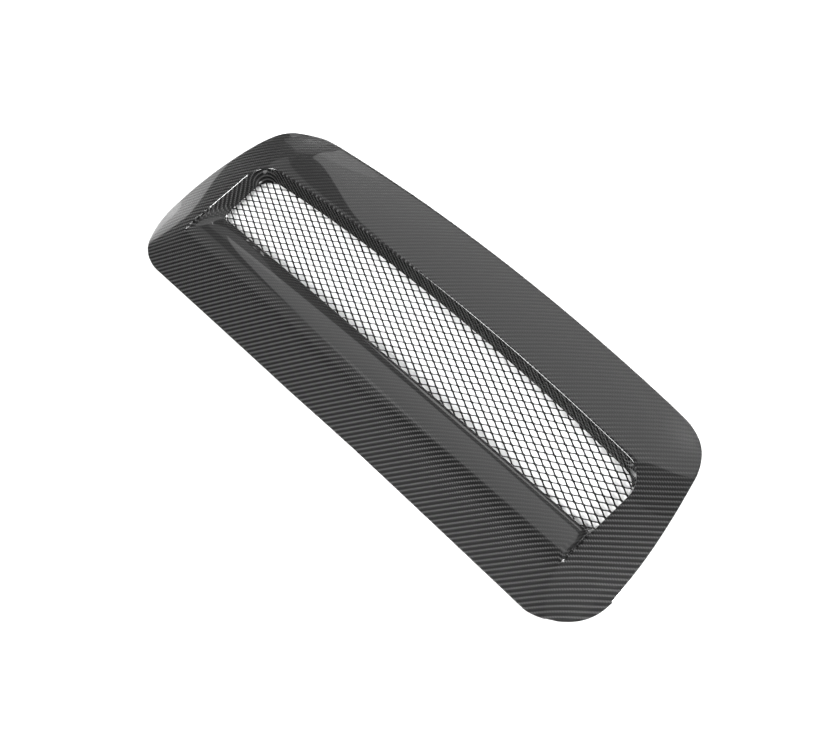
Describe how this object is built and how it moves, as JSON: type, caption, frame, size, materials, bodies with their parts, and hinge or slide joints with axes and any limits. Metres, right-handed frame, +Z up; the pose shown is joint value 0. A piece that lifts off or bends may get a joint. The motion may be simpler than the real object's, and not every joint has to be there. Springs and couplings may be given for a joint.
{
  "type": "car bonnet vent",
  "caption": "Long car bonnet vent: a glossy black carbon-fibre moulding with a lipped, ramped recess, backed by black expanded-metal mesh bonded in underneath.",
  "frame": {"origin": "middle of the underside of the vent's box, on the surface that the rim rests on", "axes": "+X along the vent, +Y towards the cowl side with the lip, +Z up out of the bonnet"},
  "size_m": [0.8382, 0.296, 0.0401],
  "materials": {
    "carbon_laminate": "black 2 x 2 twill carbon fibre under clear gloss",
    "black_mesh": "black satin coated expanded steel",
    "black_adhesive": "black polyurethane adhesive"
  },
  "bodies": {
    "root": {"moulding": "carbon_laminate", "mesh_panel": "black_mesh", "bonding_bead": "black_adhesive"}
  },
  "joints": []
}
